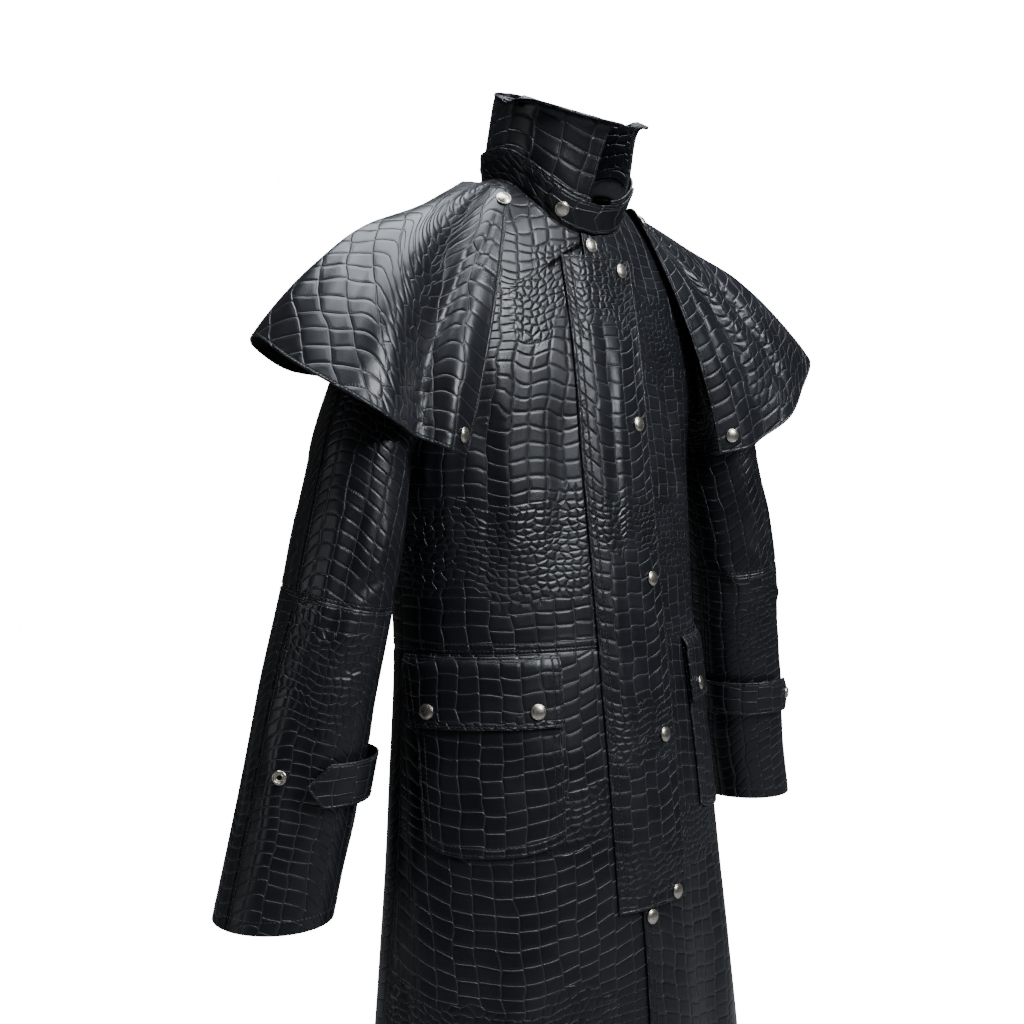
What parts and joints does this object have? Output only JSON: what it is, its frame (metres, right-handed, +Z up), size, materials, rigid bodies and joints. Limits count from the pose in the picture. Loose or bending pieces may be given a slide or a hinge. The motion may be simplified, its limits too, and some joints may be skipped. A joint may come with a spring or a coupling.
{
  "type": "duster coat",
  "caption": "Long leather riding coat with a shoulder cape, turned-up collar, snapped storm flap, patch pockets and strapped cuffs, filled out as if worn.",
  "frame": {"origin": "middle of the base of the neck, level with the neck ends of the shoulder seams, where the wearer's shoulders hold the coat", "axes": "+Z up along the wearer, -Y out of the wearer's front, +X to the wearer's left"},
  "size_m": [0.79, 0.3488, 1.3714],
  "materials": {
    "leather": "black leather embossed with a reptile scale grain, semi-gloss",
    "snap_metal": "nickel-plated snap caps, softly polished"
  },
  "bodies": {
    "root": {"front_right": "leather", "front_left": "leather", "back_right": "leather", "back_left": "leather", "skirt_front_right": "leather", "skirt_front_left": "leather", "skirt_back_right": "leather", "skirt_back_left": "leather", "storm_flap": "leather", "collar_stand": "leather", "collar_leaf": "leather", "throat_tab": "leather", "sleeve_upper_right": "leather", "sleeve_upper_left": "leather", "sleeve_lower_right": "leather", "sleeve_lower_left": "leather", "cuff_strap_right": "leather", "cuff_strap_left": "leather", "cape_right": "leather", "cape_left": "leather", "pocket_right": "leather", "pocket_left": "leather", "pocket_flap_right": "leather", "pocket_flap_left": "leather", "snap_flap_1": "snap_metal", "snap_flap_2": "snap_metal", "snap_flap_3": "snap_metal", "snap_flap_4": "snap_metal", "snap_flap_5": "snap_metal", "snap_front_top": "snap_metal", "snap_front_bottom": "snap_metal", "snap_throat": "snap_metal", "snap_cape_top_right": "snap_metal", "snap_cape_hem_right": "snap_metal", "snap_pocket_front_right": "snap_metal", "snap_pocket_side_right": "snap_metal", "snap_socket_right": "snap_metal", "snap_strap_right": "snap_metal", "snap_cape_top_left": "snap_metal", "snap_cape_hem_left": "snap_metal", "snap_pocket_front_left": "snap_metal", "snap_pocket_side_left": "snap_metal", "snap_socket_left": "snap_metal", "snap_strap_left": "snap_metal"}
  },
  "joints": []
}
